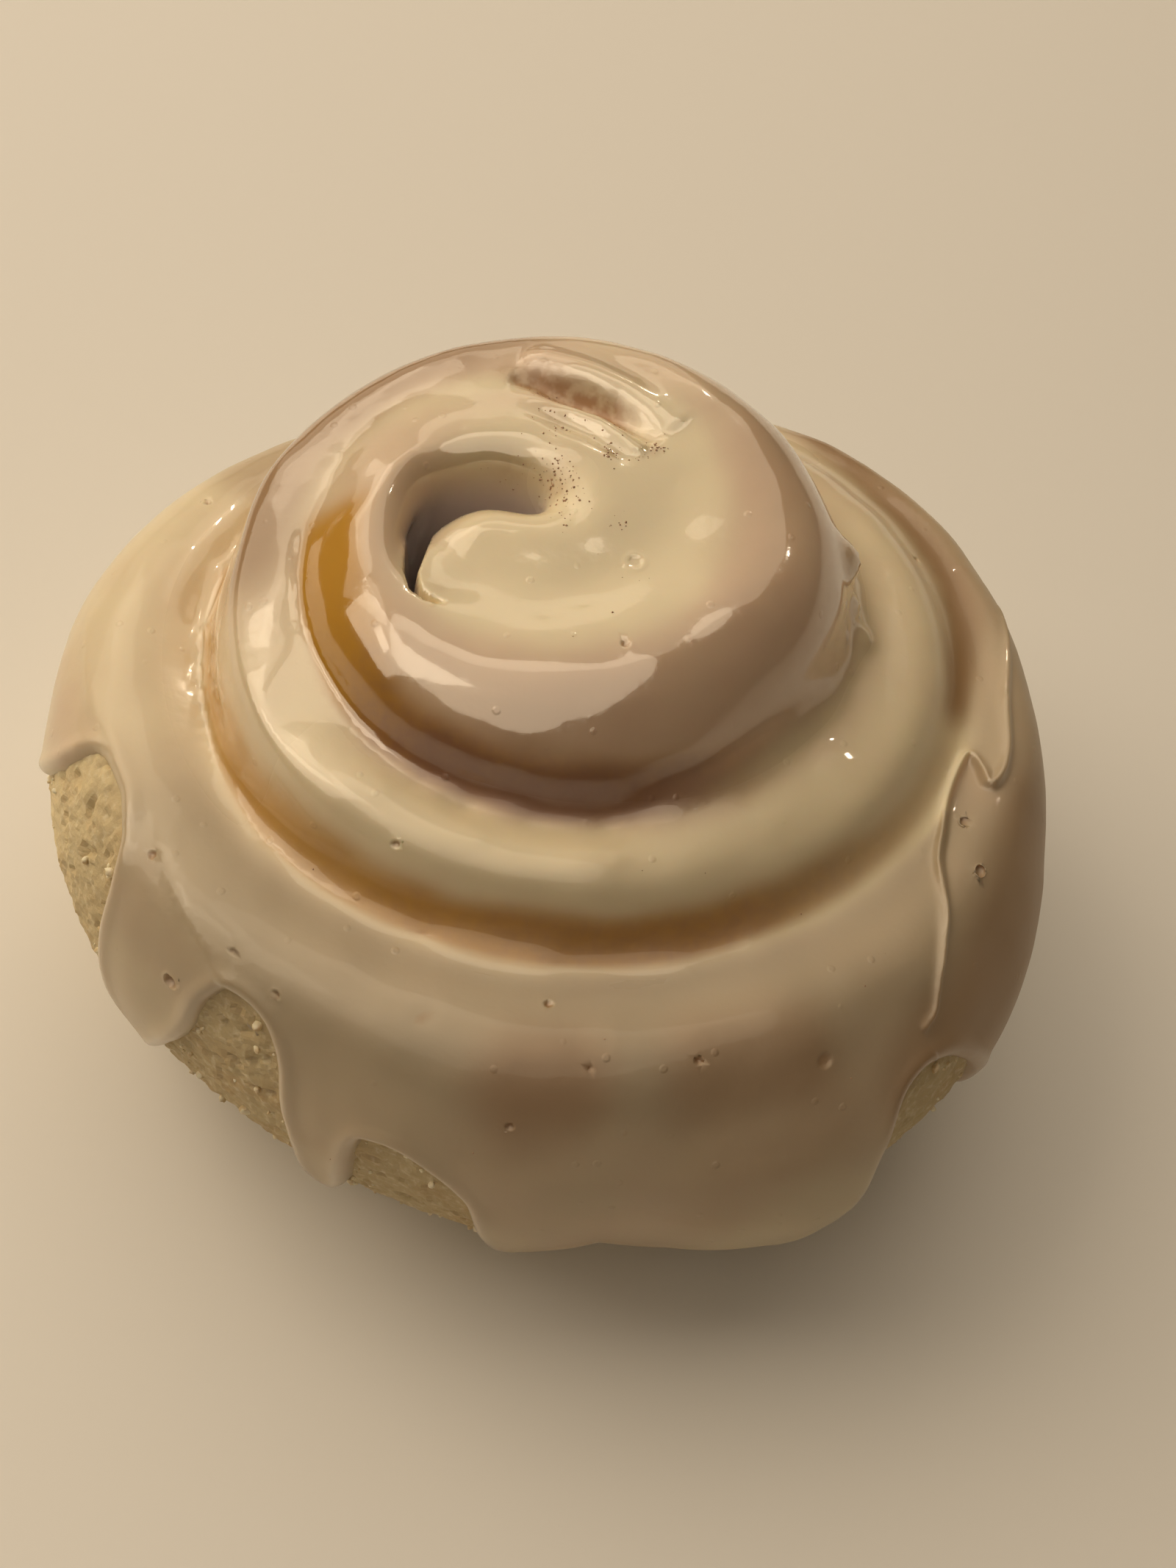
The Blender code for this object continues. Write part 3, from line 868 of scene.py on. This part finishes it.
# Painted shade in the hollow, greyer.
colour = colour.tint(place.kept("hollow"), GLAZE_SHADE_IN_HOLLOW)
colour = colour.tint(place.kept("spice") * (freckles.ramp(0.3, 0.6) * 0.5 + 0.5), SPICE)
feed(shader, "Base Color", colour)
pimples = place.node("TexVoronoi", {}, {"Vector": place, "Scale": 1 / PIMPLES_APART}).ramp(0.13, 0.05)
feed(shader, "Normal", place.bump(place.grain(1.6 * MM, 3) + pimples * 1.2, GLAZE_BUMP))
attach(glaze, "root")


# The dough: soft wheat dough raised with yeast, rolled up and baked. It shows where the glaze left it bare,
# pale where the roll touched its neighbours in the tin and darker in front with painted shade, with a torn,
# open crumb.

CRUMB = ((2.6, 0.20), (1.1, 0.22), (0.55, 0.12))
PIT_GRAIN = 1.7 * MM
PIT_DEPTH = 0.5 * MM
DOUGH_PROUD = 0.1 * MM
DOUGH_UNDER_GLAZE = 2.6 * MM
DOUGH_PALE = (0.74, 0.61, 0.36)
DOUGH_BROWNED = (0.45, 0.28, 0.11)
DOUGH_SHADED_IN_FRONT = (0.50, 0.39, 0.21)
DOUGH_FLAKES = (0.9, 0.82, 0.6)
dough = copy_of("dough", "dough_baked")
round_off(dough, 1)
put(dough, less_shoulder(points(dough)))
for reach in (4.0 * MM, 1.6 * MM, 0.8 * MM):
    spots = points(dough)
    subdivide(dough, (lower_edge(spots) < reach) & (np.abs(rounds(spots)[1]) < 62))
spots, facing = points(dough), normals(dough)
tilt = rounds(spots)[1]
torn = layered(spots, CRUMB) - PIT_DEPTH * ease(mottle(spots + 0.03, PIT_GRAIN), 0.30, 0.62)
covered = np.maximum(ease(tilt, 62, 70), ease(lower_edge(spots), 2.5 * MM, 4.5 * MM) * (tilt > 0))
spots += facing * (torn * (1 - covered) + DOUGH_PROUD - DOUGH_UNDER_GLAZE * covered)[:, None]
spots[:, 2] = np.maximum(spots[:, 2], 0)
put(dough, spots)
# Painted shade on the bare dough: darker in front, by the same angles as the glaze's.
keep(dough, "low", read_off(BROWNED_AND_SHADED, rounds(points(dough))[0]))
shader, place = finish(dough, "dough_baked")
shader.inputs["Roughness"].default_value = 0.75
translucent(shader, 0.2, LIGHT_SPREAD, 1.5 * MM)
# The bare dough is mixed darker in front: painted shade.
colour = place.plain(DOUGH_PALE).tint(place.kept("low"), DOUGH_SHADED_IN_FRONT)
colour = colour.tint(place.grain(5 * MM, 4).ramp(0.45, 0.8) * 0.5, DOUGH_BROWNED)
colour = colour.tint(place.grain(0.9 * MM, 3).ramp(0.5, 0.75) * 0.35, DOUGH_FLAKES)
feed(shader, "Base Color", colour)
feed(shader, "Normal", place.bump(place.grain(0.45 * MM, 4, 0.6), 0.12 * MM))
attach(dough, "root")
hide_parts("dough")


# The filling: a moist paste of cinnamon and brown sugar, in one ribbon through the whole roll. It shows at
# the bottom of the open slit, where it has risen a little.

PASTE_INWARD = 1.1 * MM
PASTE_DARK = (0.36, 0.16, 0.065)
PASTE_LIGHT = (0.55, 0.31, 0.14)
filling = copy_of("filling", "filling_paste")
round_off(filling, 1)
for reach in (5 * MM, 3.5 * MM, 2.5 * MM):
    spots = points(filling)
    off = off_path(spots[:, :2], SLIT)[0]
    subdivide(filling, (np.abs(off) < reach) & (spots[:, 2] > 54 * MM))
spots = points(filling)
angle, radius = polar(spots, HOLLOW_MIDDLE)
risen = sector(angle, 66, 124, 24) * ease(spots[:, 2], 50 * MM, 57 * MM) * (radius < 18 * MM)
spots -= from_hollow(spots) * (PASTE_INWARD * risen)[:, None]
spots[:, 2] += risen * (1.0 + 0.5 * mottle(spots, 0.9 * MM)) * MM
spots += normals(filling) * (risen * (0.3 + 0.3 * mottle(spots, 0.6 * MM)) * MM)[:, None]
put(filling, spots)
shader, place = finish(filling, "filling_paste")
shader.inputs["Roughness"].default_value = 0.45
lighter = place.grain(0.7 * MM, 3).ramp(0.4, 0.7) * 0.7
feed(shader, "Base Color", place.plain(PASTE_DARK).tint(lighter, PASTE_LIGHT))
feed(shader, "Normal", place.bump(place.grain(0.5 * MM, 3), 0.15 * MM))
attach(filling, "root")
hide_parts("filling")


# The crumbs: bits of dough and of dried sugar that cling to the bare dough, most of them along the edges
# of the glaze and low down.

CRUMB_COUNT = 420
CRUMB_SIZES = (0.16 * MM, 0.62 * MM)
SUGAR = (0.86, 0.78, 0.58)
BROWN_CRUMB = (0.62, 0.47, 0.25)
chance = np.random.default_rng(5)


def grain_of(name, unevenness):
    """One lump of unit size, to be copied."""
    bpy.ops.mesh.primitive_uv_sphere_add(segments=8, ring_count=5, radius=1)
    grain = bpy.context.object
    grain.name = name
    put(grain, points(grain) * (1 + unevenness * mottle(points(grain) + 3, 0.9))[:, None])
    grain.data.shade_smooth()
    return grain


def scatter(grain, places, sizes):
    """Copies a lump to each place, turned and squashed at random, and joins the copies in one piece."""
    name = grain.name
    copies = []
    for at, size in zip(places, sizes):
        copy = bpy.data.objects.new(name, grain.data.copy())
        bpy.context.collection.objects.link(copy)
        turn, _ = np.linalg.qr(chance.normal(size=(3, 3)))
        turn *= np.sign(np.linalg.det(turn))
        squash = chance.uniform(0.55, 1.2, 3) * size
        put(copy, (points(copy) * squash) @ turn + at)
        copies.append(copy)
    bpy.data.objects.remove(grain)
    choose(*copies)
    bpy.ops.object.join()
    copies[0].name = name
    return copies[0]


def sizes_between(smallest, largest, count, power):
    """Sizes drawn at random, more of them small the higher the power."""
    return smallest + (largest - smallest) * chance.random(count) ** power


spots, facing = points(dough), normals(dough)
inside = lower_edge(spots)
tilt = rounds(spots)[1]
bare = (inside < -0.3 * MM) & (tilt > -58) & (tilt < 45)
weight = bare * (np.exp(inside / (1.0 * MM)) + 0.05) * (1 + 2 * ease(tilt, -15, -45))
picked = chance.choice(len(spots), CRUMB_COUNT, replace=False, p=weight / weight.sum())
sizes = sizes_between(*CRUMB_SIZES, CRUMB_COUNT, 2.5)
places = spots[picked] + facing[picked] * (0.35 * sizes)[:, None]
crumbs = scatter(grain_of("crumbs", 0.5), places, sizes)
shader, place = finish(crumbs, "crumb")
shader.inputs["Roughness"].default_value = 0.6
translucent(shader, 0.2, (1.0, 0.7, 0.4), 0.6 * MM)
browner = place.grain(1.5 * MM, 2).ramp(0.45, 0.65)
feed(shader, "Base Color", place.plain(SUGAR).tint(browner, BROWN_CRUMB))
feed(shader, "Normal", place.bump(place.grain(0.2 * MM, 2), 0.05 * MM))
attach(crumbs, "root")


# The cinnamon specks: grains of ground cinnamon that have come up through the glaze round the open seam
# and at the hollow's end. Each group: its middle, how far it spreads, and how many grains.

SPECKS = (
    ((-4.4, 9.2, 60.4), 2.0, 70), ((-2.4, 6.2, 60.8), 1.6, 30), ((0.6, 12.2, 61.8), 1.0, 24),
    ((4.6, 13.8, 61.8), 0.9, 24), ((3.4, 12.2, 61.8), 0.8, 8), ((-5.4, 14.8, 61.8), 1.8, 24),
    ((-0.5, 15.6, 61.0), 2.0, 20), ((-8.0, 18.6, 60.5), 1.8, 14), ((2.3, 4.6, 61.0), 0.9, 9),
    ((-9.0, 10.4, 58.5), 1.6, 8), ((-2.5, 3.4, 60.8), 1.2, 6), ((4.0, -2.0, 61.0), 9.0, 6),
    ((-10.0, -38.0, 42.0), 15.0, 8), ((24.0, -30.0, 43.0), 12.0, 6),
)
SPECK_SIZES = (0.04 * MM, 0.14 * MM)
CINNAMON_DARK = (0.30, 0.165, 0.09)
CINNAMON_LIGHT = (0.42, 0.24, 0.13)
surface = skin(glaze)
places = []
for middle, spread, count in SPECKS:
    for off in chance.normal(size=(count, 3)) * spread * 0.6:
        places.append(surface.find_nearest(Vector(np.array(middle) + off) * MM)[0])
sizes = sizes_between(*SPECK_SIZES, len(places), 2)
specks = scatter(grain_of("cinnamon_specks", 0.3), np.array(places), sizes)
shader, place = finish(specks, "cinnamon")
shader.inputs["Roughness"].default_value = 0.5
lighter = place.grain(1.2 * MM, 2).ramp(0.4, 0.65)
feed(shader, "Base Color", place.plain(CINNAMON_DARK).tint(lighter, CINNAMON_LIGHT))
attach(specks, "root")


# The floor, the camera and the light: a plain pale floor, a camera that looks down on the roll and leans a
# little, and soft panels of warm light, most of them from the left and from behind.

FLOOR_COLOUR = (0.80, 0.78, 0.75)
bpy.ops.mesh.primitive_plane_add(size=3)
floor = bpy.context.object
floor.name = "floor"
shader, _ = finish(floor, "floor")
shader.inputs["Base Color"].default_value = (*FLOOR_COLOUR, 1)
shader.inputs["Roughness"].default_value = 0.6

CAMERA_ELEVATION = math.radians(56)
CAMERA_ROLL = math.radians(10.8)
CAMERA_PLACE = Vector((4.168, -107.204, 182.802)) * MM
FOCAL_LENGTH_PIXELS = 2400
IMAGE_HEIGHT_PIXELS = 2133
back = Vector((0, -math.cos(CAMERA_ELEVATION), math.sin(CAMERA_ELEVATION)))
across = Vector((1, 0, 0))
up = back.cross(across)
turned_across = math.cos(CAMERA_ROLL) * across + math.sin(CAMERA_ROLL) * up
turned_up = math.cos(CAMERA_ROLL) * up - math.sin(CAMERA_ROLL) * across
bpy.ops.object.camera_add()
camera = bpy.context.object
camera.matrix_world = Matrix((turned_across, turned_up, back)).transposed().to_4x4()
camera.location = CAMERA_PLACE
camera.data.sensor_width = 36
camera.data.lens = FOCAL_LENGTH_PIXELS / IMAGE_HEIGHT_PIXELS * camera.data.sensor_width
camera.data.clip_start = 0.01
bpy.context.scene.camera = camera

LIGHT_COLOUR = (1, 0.83, 0.61)
LIGHT_DISTANCE = 1.3
LIGHT_AIM = Vector((0, 0, 40 * MM))
ROOM_COLOUR = (0.055, 0.043, 0.029)


def panel(name, azimuth, elevation, width, height, brightness, gloss=False, rest=False, shape="RECTANGLE"):
    """A soft light, turned to the roll. It can be for the glossy shine, for all the rest, or for both."""
    azimuth, elevation = math.radians(azimuth), math.radians(elevation)
    level = math.cos(elevation)
    away = Vector((level * math.cos(azimuth), level * math.sin(azimuth), math.sin(elevation)))
    bpy.ops.object.light_add(type="AREA", location=away * LIGHT_DISTANCE + LIGHT_AIM)
    lamp = bpy.context.object
    lamp.name = name
    lamp.data.shape = shape
    lamp.data.size = width
    lamp.data.size_y = height
    lamp.data.energy = brightness * math.pi * width * height
    lamp.data.color = LIGHT_COLOUR
    lamp.rotation_mode = "QUATERNION"
    lamp.rotation_quaternion = away.to_track_quat("Z", "Y")
    lamp.visible_glossy = gloss
    lamp.visible_diffuse = rest


panel("window", 164, 33, 0.95, 1.5, 2.4, rest=True)
panel("wall", 112, 24, 1.3, 0.8, 0.6, gloss=True, rest=True)
panel("ceiling", 108, 60, 1.6, 1.4, 1.15, gloss=True, rest=True)
panel("front", 272, 58, 0.8, 0.5, 0.8, rest=True)
panel("window_shine", 153, 42, 1.15, 0.95, 1.5, gloss=True)
panel("window_shine_left", 205, 42, 1.0, 0.95, 3.6, gloss=True)
panel("window_shine_front", 266, 66, 1.6, 2.2, 2.05, gloss=True, shape="ELLIPSE")
panel("window_sky", 172, 50, 0.28, 0.3, 0.6, gloss=True)
panel("window_sky_left", 203, 44, 0.3, 0.2, 4.0, gloss=True)
panel("lamp", 84, 39, 0.05, 0.015, 250.0, gloss=True)
panel("lamp_right", 49, 47, 0.05, 0.015, 250.0, gloss=True)
world = bpy.data.worlds.new("room")
world.use_nodes = True
world.node_tree.nodes["Background"].inputs["Color"].default_value = (*ROOM_COLOUR, 1)
bpy.context.scene.world = world
bpy.context.scene.view_settings.view_transform = "Standard"
